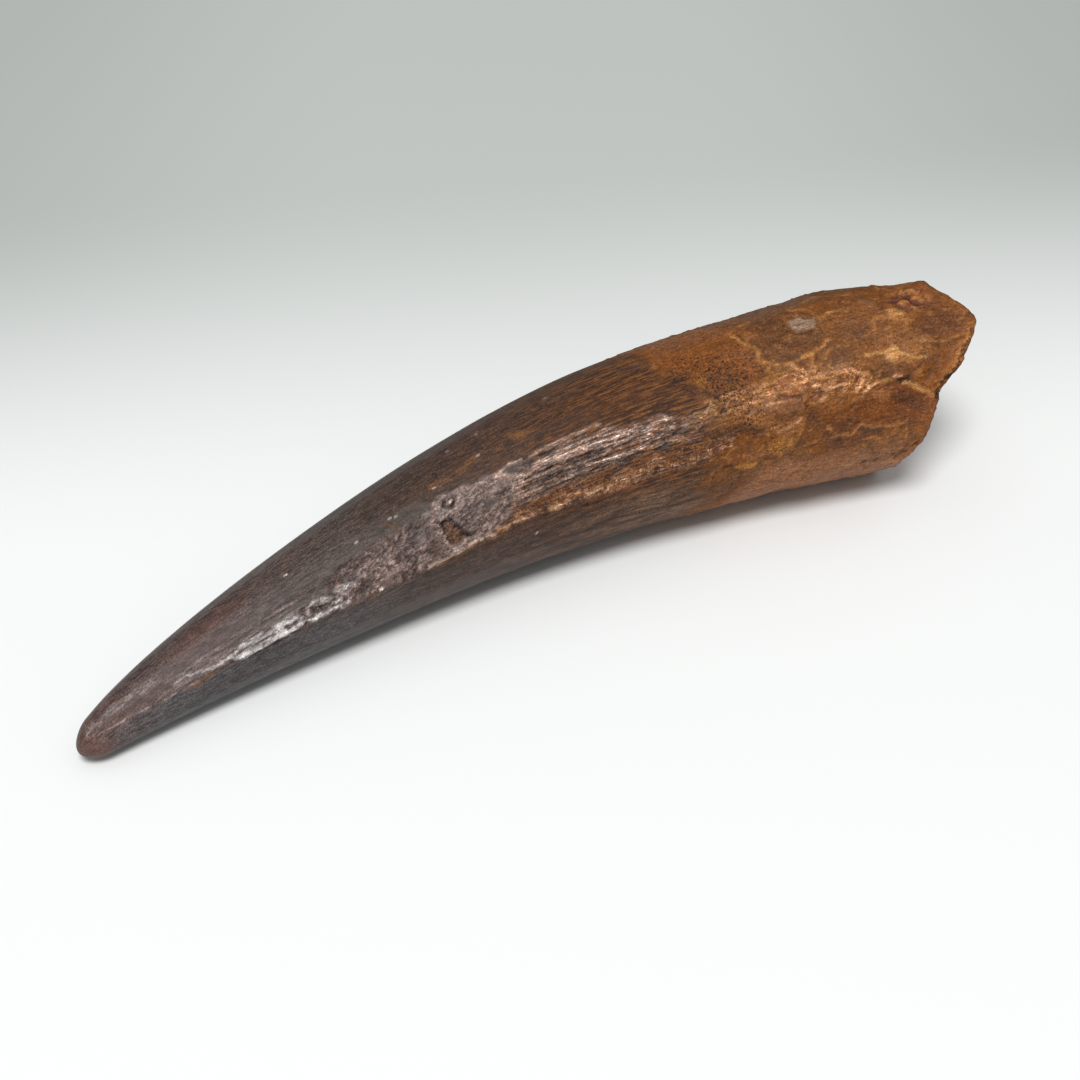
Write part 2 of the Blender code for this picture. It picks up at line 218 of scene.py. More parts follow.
# Patches: softness of the edge, height, colour, how strong it is, roughness, and a closed outline.
PATCHES = (
    (2.5, 0, TIP_RED, 0.8, 0.42, ((-2, 100), (-2, 260), (2, 260), (4, 200), (3.6, 155), (1.2, 128))),
    (3, 0, TIP_RED, 0.6, 0.42, ((16, 98), (19, 84), (26, 80), (29, 92), (24, 102), (18, 107))),
    # Painted shade in the next two patches: a zone dimming the tip's highlight, and the tip's dark wedge.
    (2.5, 0, WEDGE_SHADE, 0.3, 0.45, ((14, 117), (20, 112), (26, 112), (29, 121), (22, 124), (15, 125))),
    (0.9, -0.12, WEDGE_SHADE, 0.36, 0.62, ((2.2, 110), (4.5, 113), (8.5, 120), (13, 127), (15, 134), (12, 141),
        (8.5, 138), (5, 131), (3, 122))),
    (0.9, 0, RUST, 0.6, 0.42, ((15.9, 153), (17.5, 150), (20.2, 152), (20, 157), (18, 160), (16.4, 158))),
    (0.8, -0.08, OLIVE, 0.85, 0.36, ((52.9, 107), (55.7, 107), (58.3, 110), (59.5, 117), (57.8, 123),
        (55, 120), (53, 114))),
    (1.5, 0.06, PINK_GREY, 0.5, 0.3, ((57.2, 121), (60.2, 115), (63.5, 116.5), (67.5, 120), (71, 124),
        (73.5, 129), (70, 131), (65.5, 129), (62.5, 129), (58.5, 128))),
    (2.2, -0.05, DARK_GRAIN, 0.45, 0.36, ((62.8, 136), (66, 131), (70, 130), (71.5, 140), (68, 152),
        (63.5, 152))),
    (0.7, -0.3, SOOT_AND_SHADE, 0.7, 0.4, ((45.2, 128), (46.8, 126), (48, 129), (46.6, 133))),
    (0.8, 0.12, SILVER, 0.8, 0.26, ((40.9, 140), (43, 139), (44.6, 143), (42.6, 145.5))),
    (0.3, -0.35, RUST_DARK, 0.9, 0.34, ((59.7, 133.5), (61.3, 135), (61.9, 142), (62.5, 153), (61, 156.5),
        (59.9, 153))),
    (0.5, 0.05, YELLOW, 0.3, 0.36, ((61.2, 139), (61.8, 141), (62.2, 148), (61.4, 148))),
    (0.3, 0.1, GREY_CHIP, 0.9, 0.34, ((71.4, 119.5), (73.2, 117), (75.1, 118), (76.5, 122), (76, 126),
        (74.4, 129), (72.8, 126))),
    # Painted shade that dims the highlight on the upper crown base.
    (3, 0, SOOT_AND_SHADE, 0.3, 0.5, ((77, 101), (82, 98), (88, 104), (91, 112), (84, 111), (78, 108))),
    (0.8, 0, RUST, 0.85, 0.5, ((75.4, 96), (77.2, 95.5), (79.2, 99), (77.6, 102), (76, 100))),
    (0.8, 0, RUST_DARK, 0.5, 0.5, ((65.8, 94), (68, 96), (70, 99.5), (67.2, 104), (65.4, 99))),
    (1.2, -0.08, OCHRE, 0.95, 0.56, ((97, 49), (101, 60), (101.1, 85), (103.2, 100), (105.2, 110),
        (107, 120), (111, 127), (115.4, 126), (117.8, 117), (116.9, 105), (114.9, 90), (115, 82), (113, 66),
        (108, 52))),
    (4, 0, LOW_STREAK, 0.3, 0.54, ((102, 54), (103, 80), (112, 80), (124, 78), (131, 74), (131, 54),
        (116, 50))),
    (1.5, -0.05, ROOT_GREY, 0.45, 0.56, ((107.5, 112), (110, 110), (112.5, 114), (112, 121), (109, 122))),
    (1, 0, YELLOW, 0.45, 0.5, ((116.6, 128), (117.6, 117), (120, 121), (122.4, 122), (120, 126),
        (118, 131))),
    (0.9, 0, YELLOW, 0.5, 0.5, ((105.6, 111), (107.4, 110), (107.6, 116), (106.2, 119))),
    (3, 0, ROOT_GREY, 0.5, 0.56, ((117, 84), (118, 100), (119.4, 117), (122, 119), (127, 112), (131, 100),
        (133, 92), (127, 86), (121, 80))),
    (1, 0.04, SMEAR, 0.6, 0.44, ((104, 133), (110, 129), (116, 130), (119, 127), (125, 125), (131, 126),
        (135, 126), (136, 129), (131, 135), (126, 140), (120, 143), (114, 144), (109, 147), (105, 143))),
    (0.4, 0.14, PALE_CHIP, 0.95, 0.36, ((123.7, 91), (125.8, 88.5), (127.3, 91.5), (128.6, 92.5),
        (127.4, 100), (124.4, 99.5))),
    (4, 0, SMEAR, 0.45, 0.5, ((129, 97), (134, 92), (141, 97), (144, 104), (142, 113), (145, 124),
        (141, 137), (134, 134), (130, 118))),
    (2, -0.05, ROOT_GREY, 0.5, 0.52, ((130.5, 104), (133, 101), (136, 105), (135.5, 113), (132, 115),
        (130, 110))),
    (1.5, 0.05, VEIN, 0.22, 0.46, ((139.5, 127), (142, 124), (145, 127), (145, 134), (141, 136),
        (139, 132))),
    (0.8, 0.08, SMEAR, 0.8, 0.45, ((136, 95), (136.8, 86), (138.5, 82), (140.2, 84), (138, 96))),
    (0.5, 0.15, PALE_OCHRE, 0.5, 0.5, ((139.7, 106), (140, 100), (142.8, 102), (142.3, 107))),
    (1.5, -0.1, LENS_RED, 0.6, 0.5, ((142.7, 114), (146.2, 111), (150, 109), (151.8, 111), (151.2, 124),
        (148.6, 126), (145.3, 124))),
    (0.5, 0.18, PALE_OCHRE, 0.62, 0.5, ((136.6, 128), (138.7, 123), (139.4, 127), (138.7, 132),
        (137.8, 135), (136.8, 132))),
    (0.9, -0.18, OLIVE, 0.1, 0.5, ((107.7, 152), (109.8, 149), (111.5, 149), (113.4, 153), (115.8, 152),
        (117.9, 151), (120.3, 149), (121, 152), (118.9, 154), (115.7, 156), (113.4, 158), (110.5, 155),
        (108.4, 155))),
    (0.8, 0.16, PINK_BROWN, 0.55, 0.42, ((114.3, 142), (115.6, 137), (118.2, 137), (121.5, 141),
        (121.7, 147), (119.3, 150), (116.8, 146))),
    (0.5, 0.25, SMEAR, 0.85, 0.4, ((111.5, 148), (112.4, 142), (114.3, 142), (116.7, 147), (115.8, 150),
        (113.4, 151))),
    (0.4, -0.15, SCAR, 0.8, 0.4, ((117.3, 130), (119, 127), (121.5, 128), (123.1, 133), (122.7, 138),
        (120.8, 139), (119, 137))),
    (0.5, 0.12, LENS_BROWN, 0.95, 0.44, ((132.5, 146), (134.1, 143), (136.4, 146), (139.6, 148), (142, 154),
        (144, 160), (143.8, 168), (142.4, 174), (139.3, 171), (134.8, 169), (131, 166), (130.2, 171),
        (127.5, 170.5), (125.2, 166), (124.4, 158), (125, 153), (127.5, 157), (130.4, 154), (131.7, 149))),
    (1, 0, LENS_RED, 0.85, 0.42, ((136.6, 151), (137.6, 149), (139.2, 150), (141, 154), (143.4, 161),
        (142.8, 169), (139, 160), (136.8, 157))),
    (0.9, 0.05, SMEAR, 0.75, 0.46, ((133, 149), (134.6, 147), (136.2, 149.5), (136, 153.5), (134, 154))),
    (1.2, 0, LENS_RED, 0.7, 0.42, ((125.4, 159), (128, 160), (131, 162), (130, 168), (126.5, 171),
        (123.6, 170))),
    (0.5, -0.06, PURPLE, 0.95, 0.46, ((124.6, 170), (127.7, 172), (130.6, 173), (132.6, 170), (134.9, 171),
        (134.6, 176), (131.1, 180), (129.6, 183), (125.7, 180))),
    (0.3, -0.15, RUST_DARK, 0.55, 0.46, ((130.9, 168), (134.7, 170.5), (134.8, 173), (134.2, 176),
        (131.3, 174))),
    (3, 0, ROOT_LOW, 0.85, 0.52, ((113, 184), (118, 180), (122, 184), (130, 184), (138, 186), (142, 196),
        (139, 240), (128, 262), (112, 255), (108, 220))),
    (2, 0, SMEAR, 0.35, 0.5, ((131, 177), (136, 173), (141, 178), (141, 188), (135, 186), (131, 184))),
    (3, 0, ROOT_GREY, 0.6, 0.54, ((103, 176), (108, 178), (114, 181), (113, 188), (106, 200), (101, 190))),
    (0.8, 0.05, YELLOW, 0.9, 0.5, ((109, 177), (111.4, 173.5), (114.2, 175.5), (112.5, 179.5))),
    (1.2, 0.05, YELLOW, 0.85, 0.5, ((114.6, 170), (117, 163), (120.5, 164), (119.5, 170), (117, 173))),
    (1.2, 0.06, SMEAR, 1, 0.44, ((114.6, 150), (117, 153), (119, 155), (122, 154), (121.5, 161), (118, 162),
        (115, 157))),
    (1.2, 0.04, SMEAR, 0.6, 0.5, ((110.5, 168), (113, 165), (115.5, 168), (114.5, 173), (112, 173))),
    (1.5, 0.05, SMEAR, 0.45, 0.46, ((124, 147), (126, 143), (130, 143), (134, 147), (135.5, 151),
        (131, 152), (126, 152))),
    (0.7, 0.05, YELLOW, 0.55, 0.5, ((119.5, 178), (121.4, 174.5), (122.2, 179))),
    (0.6, 0.05, RUST, 0.7, 0.45, ((105.8, 152), (107.6, 151.5), (107.4, 155))),
)

# Lines: half width, height, colour, how strong they are, and one line or more.
LINES = (
    # Painted highlights along the tip's upper ridge and along the front keel near the tip.
    (0.6, 0.06, SHEEN, 0.75, ((1.7, 97), (4.6, 98), (6.6, 103), (9.3, 106), (12, 112))),
    (0.14, 0.1, PINK_GREY, 0.7, ((3, 126), (5.1, 135), (9.1, 143), (12.1, 148), (15.1, 151), (17.7, 152))),
    (0.22, 0.16, GLINT, 0.45, ((14.6, 136), (16.4, 135), (18.2, 141), (20.2, 146), (23, 146))),
    (0.16, 0.08, SHEEN, 0.6, ((16.4, 130), (18.2, 129), (20.2, 126), (21.4, 129))),
    # A painted highlight along the strip's lower rim, and a painted shadow line just under it.
    (0.28, 0.16, GLINT, 0.85, ((23.4, 147), (24.4, 153.5), (26.3, 156.5), (28.6, 155), (31.3, 154.5),
        (33.6, 155), (34.6, 151))),
    (0.2, -0.3, BLACK, 0.85, ((23.3, 151), (24.5, 156.5), (27.6, 159), (29.4, 157.5), (31.7, 158),
        (34.3, 158))),
    (0.28, -0.35, FIBRE_DARK, 0.8, ((35.7, 140), (35.5, 147), (35.3, 156))),
    (0.22, 0.14, GLINT, 0.8, ((35.9, 154), (36.6, 156), (37.7, 154.5), (38.6, 156), (39.4, 154.5),
        (41, 155), (42.3, 157))),
    (0.16, 0.1, GLINT, 0.4, ((36.3, 142), (38, 140), (39.6, 142))),
    (0.4, -0.3, SOOT_AND_SHADE, 0.75, ((37.4, 146), (38.6, 148.5), (39.6, 148))),
    (0.22, -0.3, BLACK, 1.6, ((61.4, 134), (59.7, 133.5), (59.9, 142))),
    (0.26, -0.4, BLACK, 1.8, ((61.4, 136), (61.9, 142), (62.5, 150), (63.4, 154))),
    (0.24, -0.4, BLACK, 2.2, ((61.3, 121), (62, 117.5), (62.9, 118), (63.2, 121.5), (62.4, 125),
        (61.5, 123.5), (61.3, 121))),
    (0.2, -0.3, BLACK, 0.9, ((68.6, 125), (69.1, 126))),
    (0.22, -0.3, BLACK, 0.9, ((69.3, 132), (69.9, 134), (69.2, 135))),
    (0.26, 0.12, PINK_GREY, 0.55, ((60, 117), (62, 116.5), (65, 118.5), (68.4, 118), (70.6, 120))),
    (0.2, 0.12, GLINT_PINK, 1.3, ((71.2, 119), (73, 116.6), (75, 117.6))),
    (0.2, -0.35, BLACK, 0.85, ((74.4, 131.5), (78.4, 131.5), (82.3, 132.5), (86.4, 134), (90.2, 136.5))),
    (0.18, -0.3, BLACK, 0.8, ((82.1, 137), (86, 139), (89.8, 141), (95, 142), (99.4, 143)), ((76.3, 143),
        (81.5, 142), (85.6, 142.5), (89.4, 145), (93.4, 144.5))),
    (0.24, -0.35, BLACK, 0.9, ((72.7, 146), (76.1, 146), (79.6, 145.5), (82.8, 146), (86.4, 146.5),
        (93.6, 147), (98.1, 146.5))),
    (0.27, 0.24, GLINT_PINK, 1.3, ((70.4, 120), (72.4, 124.5), (74.3, 128.5), (77.7, 128), (81.3, 127.5),
        (88, 129), (94.8, 131), (97.8, 131.5))),
    (0.22, 0.18, GLINT_PINK, 1, ((84.4, 140), (87, 142), (90.3, 143), (94, 142.5), (96.6, 144))),
    (0.24, 0.1, GLINT_PINK, 0.8, ((76.5, 119), (78.6, 117), (81.5, 117), (84.3, 117), (88.8, 118))),
    # Painted glints on the orange band.
    (0.3, 0.14, GLINT_PALE, 1.1, ((82.8, 160.5), (83.9, 158.5), (85.8, 159))),
    (0.26, 0.14, GLINT_PALE, 1, ((86.2, 162), (87.4, 159.5), (88.6, 158)), ((89.6, 159.5), (91.3, 158.5),
        (93.4, 158))),
    (0.24, -0.25, SOOT_AND_SHADE, 0.75, ((80, 165), (88.2, 169.5), (92.6, 171), (97.2, 171.5), (102.3, 173),
        (109.5, 173))),
    (0.22, -0.25, SOOT_AND_SHADE, 0.5, ((109.5, 151), (113.4, 155.5), (116, 154), (118.5, 153), (120.8, 151))),
    (0.16, -0.15, SOOT_AND_SHADE, 0.7, ((132.4, 179), (133.5, 187), (134.1, 192))),
    (0.15, -0.3, BLACK, 1.2, ((130.2, 196), (132.1, 197), (134.2, 197), (136.5, 199), (137.6, 195),
        (139.2, 193))),
    (0.36, -0.6, BLACK, 1.2, ((138.5, 199), (139.7, 195))),
    (0.3, -0.5, BLACK, 1.2, ((140.6, 191), (141.5, 189))),
    # A painted glint low on the root.
    (0.34, 0.1, GLINT_PALE, 0.9, ((128.8, 196), (130.4, 197))),
    (0.4, 0.1, PALE_OCHRE, 0.6, ((136.5, 203), (139.6, 207))),
    (0.34, -0.7, BLACK, 1.8, ((137.6, 144.5), (139.7, 146))),
    (0.22, 0.14, WARM_GLINT, 1.2, ((137.3, 142.5), (138.6, 143))),
    (0.5, -0.5, DARK_RED, 0.9, ((124.8, 139.5), (125.3, 144))),
    (0.22, -0.3, BLACK, 0.8, ((108, 137), (109.3, 134.5))),
    (0.22, -0.1, SOOT_AND_SHADE, 0.7, ((34, 176), (34.8, 170))),
    (0.22, -0.1, SOOT_AND_SHADE, 0.6, ((37, 170), (38, 168))),
    (0.26, 0.06, VEIN, 1.2, ((114.9, 84), (115.6, 96), (117.1, 103), (116.9, 111), (118.8, 117),
        (120.7, 119))),
    (0.24, 0.06, VEIN, 1.15, ((120.7, 119), (123, 118), (125.5, 116.5), (127.6, 114), (128.4, 111))),
    (0.3, 0.08, SMEAR, 1.1, ((125.5, 85), (128.2, 91), (129.6, 93), (131.8, 91), (134.6, 92), (136, 94))),
    (0.2, 0.14, WARM_GLINT, 0.85, ((121.4, 120.5), (122.3, 124), (123.1, 125))),
    (0.2, 0.14, WARM_GLINT, 0.5, ((123.4, 127), (124.2, 131))),
    (0.2, 0.14, WARM_GLINT, 0.55, ((118.8, 127), (120.1, 125.5), (121.7, 126.5), (123.2, 131))),
    (0.24, -0.3, BLACK, 0.85, ((117.2, 128), (117.8, 133), (119, 137.5), (121.6, 140))),
    (0.2, 0.14, WARM_GLINT, 0.55, ((120.6, 131), (123.5, 132), (125.7, 131), (129.5, 133))),
    (0.2, 0.14, WARM_GLINT, 0.85, ((125.6, 142), (127, 140), (129.6, 139.5)), ((130.2, 132), (131.3, 136),
        (133.1, 138)), ((130.7, 145), (132.1, 141), (132.1, 137)), ((132, 147), (133.1, 144.5),
        (134.5, 143))),
    (0.22, 0.1, VEIN, 0.8, ((134.5, 143), (137.2, 144))),
    (0.24, 0.12, WARM_GLINT, 0.6, ((109, 128), (110.9, 127), (112.9, 128))),
    (0.24, 0.12, WARM_GLINT, 0.45, ((113.7, 126), (116, 127.5), (118.1, 128))),
    (0.24, 0.12, WARM_GLINT, 0.6, ((110.5, 137), (112.7, 136), (114.8, 136.5))),
    (0.24, 0.12, WARM_GLINT, 0.35, ((115.1, 133), (117.6, 134), (120.4, 136))),
    (0.22, 0.12, WARM_GLINT, 0.5, ((115.4, 140), (118.8, 141))),
    (0.24, 0.1, VEIN, 0.9, ((125.9, 79), (127.3, 81), (128.6, 87))),
    (0.22, 0.1, VEIN, 0.8, ((128.8, 94), (130.5, 92), (131.8, 91))),
    (0.2, 0.14, WARM_GLINT, 0.6, ((117.1, 158), (118.9, 157), (121, 154))),
    (0.28, 0.2, WARM_GLINT, 0.8, ((121.9, 135.5), (122.8, 136.5))),
    (0.26, 0.2, WARM_GLINT, 0.8, ((124.2, 136), (125, 137))),
    (0.24, 0.16, WARM_GLINT, 0.7, ((124.5, 146), (125.3, 145))),
    (0.26, 0.12, PALE_OCHRE, 0.95, ((138.9, 147), (140.7, 150), (142.4, 155), (143.6, 158))),
    (0.24, 0.08, VEIN, 1.1, ((131, 166), (132.9, 169), (135, 169.5), (136.8, 170), (138.8, 169))),
    (0.22, 0.08, VEIN, 0.9, ((125.4, 163), (126.9, 169), (129.3, 171.5), (130.2, 168.5), (131, 166))),
    (0.2, 0.08, VEIN, 0.8, ((131.4, 177.5), (132.3, 176.5), (134.4, 177.5))),
    (0.22, 0.05, VEIN, 0.8, ((142.7, 125), (145, 126))),
    (0.22, -0.3, SOOT_AND_SHADE, 0.9, ((145.4, 129), (148, 130), (150.8, 128))),
    (0.2, 0.05, VEIN, 0.8, ((145.4, 127.5), (148, 128.5), (150.8, 126.5))),
    (0.22, 0.1, VEIN, 0.9, ((136.5, 112), (136.9, 106), (138.3, 104), (139.7, 107), (143.1, 111))),
    (0.22, 0.1, PALE_OCHRE, 0.85, ((133.5, 126), (135.5, 127), (137.2, 128)), ((138.7, 129), (141.7, 134),
        (143.4, 135))),
    # Painted glints along the front keel beyond the patch.
    (0.28, 0.14, FIBRE_GLINT, 1.2, ((55.5, 161.5), (58.2, 161), (60.8, 160), (64.4, 159))),
    (0.34, 0.18, FIBRE_GLINT, 1.4, ((65.5, 158.5), (66.8, 160.5))),
    (0.34, 0.18, GLINT_PALE, 1.3, ((67.6, 156.5), (69.4, 158.5))),
    (0.22, 0.12, GLINT_PALE, 0.7, ((70.6, 157.6), (72.6, 158))),
    (0.34, 0.16, GLINT_PALE, 1.2, ((76.6, 159.5), (78.4, 160))),
    (0.26, 0, RUST, 0.9, ((60.8, 99), (62.8, 101), (64.2, 103))),
    (0.24, 0, RUST, 0.8, ((60.8, 100), (60.8, 103), (62.2, 105.5))),
    (0.4, 0, RUST, 0.9, ((65.8, 102), (67.4, 100), (69.4, 98))),
    (0.16, 0, RUST, 0.4, ((52.2, 109), (52.9, 114), (53.8, 119))),
    (0.3, 0, RUST, 0.55, ((57.5, 165), (60.5, 163), (63.5, 161.5), (66, 161.5), (69, 160.5))),
    (0.25, 0, RUST, 0.5, ((45.8, 163), (46.6, 166))),
)

# Small pale specks, longer than they are wide: distance, angle and half width.
SPECKS = (
    (36, 98, 0.14), (53.3, 107, 0.2), (54.2, 108, 0.14), (61.3, 104, 0.14), (47.5, 160, 0.22),
    (47.2, 110, 0.15), (62.3, 121, 0.17), (61.3, 160, 0.24), (66.7, 76, 0.14), (69.7, 98, 0.12),
    (71.8, 77, 0.14), (72.3, 75, 0.12), (84, 77, 0.14), (92.8, 73, 0.14), (64.7, 159, 0.24),
    (52.1, 162, 0.12), (74, 175, 0.1), (86, 60, 0.1), (58, 318, 0.14), (75, 20, 0.14), (40, 352, 0.12),
    (96, 250, 0.14),
)

# Rows of small glossy bumps on the root.
BUMPS = (
    ((121, 130), (126, 131), (131, 134), (133, 139)), ((125, 139), (129.4, 140), (132.1, 143)),
    ((104, 135), (108, 132), (112, 135), (116.6, 132)),
)

# The rough top of the root: distance and angle.
ROUGH_TOP = (144.6, 93)

# Patches thick with small dark pits: distance, angle, reach in millimetres, and how thick.
PITTED = (
    (106.5, 106, 6, 0.8), (110.5, 117, 6, 0.97), (110, 130, 4, 0.8), (115, 112, 4, 0.8),
    (112, 142, 4.5, 0.85), (108, 145, 5, 0.6), (112, 98, 4, 0.5), (122, 146, 4, 0.6), (117.5, 164, 5, 0.7),
    (122, 170, 3, 0.6), (104, 160, 5, 0.4), (120, 250, 7, 0.9), (112, 30, 6, 0.9), (128, 330, 5, 0.8),
)

# What the surface's fields start at, and what its finish is on the broken end.
START = {"relief": 0, "grain": 0.1, "hairs": 1, "pits": 0, "glints": 0}
ON_BREAK = {"rough": 0.72, "grain": 0.3, "streaks": 0, "hairs": 0.2, "glints": 0}

# ------------ the fine mesh
COLUMNS = 184
TIP_RINGS = 14
SIDE_RINGS = 500
BREAK_RINGS = 40
AXIS_STEPS = 400
# Columns crowd together on the side that shows its damage.
CROWDED_ANGLE = 138
CROWDING = 0.55


def through(stations, at):
    """A smooth curve through (x, y) stations that makes no bumps of its own between them."""
    x, y = np.array(stations, float).T[:2]
    at = np.clip(at, x[0], x[-1])
    width = np.diff(x)
    slope = np.diff(y) / width
    product = slope[:-1] * slope[1:]
    total = np.where(product > 0, slope[:-1] + slope[1:], 1)
    tangent = np.concatenate([slope[:1], np.where(product > 0, 2 * product / total, 0), slope[-1:]])
    i = np.clip(np.searchsorted(x, at, side="right") - 1, 0, len(width) - 1)
    t = (at - x[i]) / width[i]
    rise = (3 - 2 * t) * t * t * (y[i + 1] - y[i])
    return y[i] + rise + width[i] * t * (t - 1) * ((t - 1) * tangent[i] + t * tangent[i + 1])


def ramp(value, low, high):
    """0 below low, 1 above high, and smooth between them."""
    t = np.clip((value - low) / (high - low), 0, 1)
    return t * t * (3 - 2 * t)


def bell(value, width):
    """1 at zero, and less the further from it."""
    return np.exp(-((value / width) ** 2))


def turn_from(angle, middle):
    """How far an angle is from another, the short way round."""
    return (angle - middle + 180) % 360 - 180


def ripple(points, size, octaves=2, shift=0):
    """Smooth noise from about -1 to 1 at each point, with lumps of this size in millimetres."""
    return np.array([noise.fractal(Vector(p) / size, 1, 2, octaves) for p in points + shift])


def tones(table, distance):
    """A table's colour at each distance."""
    return np.stack([through([(row[0], row[1][i]) for row in table], distance) for i in range(3)], -1)


def axis_at(distance):
    """X, Y and the heading in radians of the axis at each distance."""
    steps = np.linspace(0, LENGTH, AXIS_STEPS)
    heading = np.radians(through(BEND, steps))
    middle = (heading[1:] + heading[:-1]) / 2
    x, y = (np.append(0, np.cumsum(part(middle))) * steps[1] for part in (np.cos, np.sin))
    return [np.interp(distance, steps, values) for values in (x, y, heading)]


def base_radius(distance):
    return ROOT_RADIUS * through(GIRTH, distance)


# ------------ fields over the surface
def unrolled(distance, angle, middle):
    """Flat coordinates in millimetres round a middle angle."""
    return distance, np.radians(turn_from(angle, middle)) * base_radius(distance)


def segment_gap(px, py, a, b):
    """How far points are from the straight line between a and b."""
    run, rise = b[0] - a[0], b[1] - a[1]
    share = np.clip(((px - a[0]) * run + (py - a[1]) * rise) / (run * run + rise * rise), 0, 1)
    return np.hypot(px - a[0] - share * run, py - a[1] - share * rise)


def laid_flat(line, distance, angle):
    """The places and a line's corners, in flat coordinates round the line's middle angle."""
    middle = np.mean(line, axis=0)[1]
    return *unrolled(distance, angle, middle), [unrolled(*point, middle) for point in line]


def near(line, distance, angle):
    """How far each place is from an open line, in millimetres."""
    px, py, corners = laid_flat(line, distance, angle)
    return np.min([segment_gap(px, py, a, b) for a, b in zip(corners, corners[1:])], axis=0)


def inside(outline, distance, angle):
    """How far inside a closed outline each place is, in millimetres; negative outside it."""
    px, py, corners = laid_flat(outline, distance, angle)
    gap = np.full_like(distance, np.inf)
    within = np.zeros(len(distance), bool)
    for a, b in zip(corners, corners[1:] + corners[:1]):
        gap = np.minimum(gap, segment_gap(px, py, a, b))
        crosses = (a[1] > py) != (b[1] > py)
        rise = b[1] - a[1] if b[1] != a[1] else 1
        within ^= crosses & (px < (b[0] - a[0]) * (py - a[1]) / rise + a[0])
    return np.where(within, gap, -gap)


def wobbled(distance, angle, places, size, reach):
    """The same places moved a little by noise, for ragged edges."""
    along = ripple(places, size, 3, 11) * reach
    across = ripple(places, size, 3, 37) * reach
    turned = np.degrees(across / np.maximum(base_radius(distance), 1))
    return distance + along, angle + turned


def keel(distance, angle, line):
    """A keel with a flat on each side of it, fading out where the root begins."""
    off = np.abs(turn_from(angle, through(line, distance)))
    edge = np.exp(-off / 9) - 0.5 * bell(off - 30, 18)
    along = ramp(distance, 2, 16) * (1 - ramp(distance, 75, CROWN_LENGTH))
    return KEEL_HEIGHT * edge * along


class Skin:
    """The side's relief in millimetres, its colour and its finish, at each distance and angle."""

    def __init__(self, distance, angle):
        self.distance, self.angle = distance, angle
        self.radius = base_radius(distance)
        turn = np.radians(angle)
        self.straight = np.stack([distance, self.radius * np.cos(turn), self.radius * np.sin(turn)], -1)
        self.ragged = wobbled(distance, angle, self.straight, 2.5, 0.5)
        self.cracked = wobbled(distance, angle, self.straight, 1.8, 0.22)
        self.frayed = self.noise(0.12, 0.9, 2, 13)
        past_edge = distance - through(ROOT_EDGE, angle % 360)
        ragged_root = 2.2 * ripple(self.straight, 4, 3, 61) + 2.8 * self.frayed
        self.on_root = ramp(past_edge + ragged_root, -1.5, 1.5)
        for name, value in START.items():
            setattr(self, name, np.full_like(distance, value))

    def noise(self, stretch, size, octaves=2, shift=0):
        """Smooth noise over the surface, drawn out lengthwise where stretch is under 1."""
        return ripple(self.straight * [stretch, 1, 1], size, octaves, shift)

    def seams(self, stretch, size, width, shift):
        """1 along thin wandering lines, where noise passes through zero, and 0 beside them."""
        return bell(self.noise(stretch, size, 3, shift), width)

    def gap(self, distance, angle, drawn_out=1):
        """How far each place is from a point, in millimetres."""
        across = np.radians(turn_from(self.angle, angle)) * self.radius
        return np.hypot((self.distance - distance) / drawn_out, across)

    def facing(self, angle, spread):
        """1 at this angle, and less the further round from it."""
        return bell(turn_from(self.angle, angle), spread)

    def within(self, outline, soft, frayed=0):
        """1 inside a closed outline and 0 outside it; the edge is soft, and frayed lengthwise."""
        places = self.ragged if soft > 0.5 else self.cracked
        return ramp(inside(outline, *places) + frayed * self.frayed, -soft / 2, soft / 2)

    def paint(self, share, colour):
        self.tint += share[:, None] * (colour - self.tint)

    def finish(self, share, **values):
        for name, value in values.items():
            field = getattr(self, name)
            field += share * (value - field)


def lay_form(skin):
    """The broad form, as in the solid."""
    distance, angle = skin.distance, skin.angle
    turn = np.radians(angle)
    crown = 1 - ramp(distance, CROWN_LENGTH - 14, CROWN_LENGTH + 4)
    flutes = FLUTE_DEPTH * np.cos(FLUTE_COUNT * turn) * ramp(distance, 10, 34) * crown
    lumps = ROOT_LUMPS * (1 - crown) * skin.noise(0.6, LUMP_SIZE)
    worn = WORN_DEPTH * ramp(distance, WORN_FROM, WORN_FROM + WORN_LENGTH)
    keels = keel(distance, angle, FRONT_KEEL) + keel(distance, angle, BACK_KEEL)
    skin.relief += keels + flutes + lumps - worn * skin.facing(WORN_ANGLE, WORN_SPREAD)
    for at, at_angle, out, size in SPOTS:
        skin.relief += out * bell(skin.gap(at, at_angle), size)


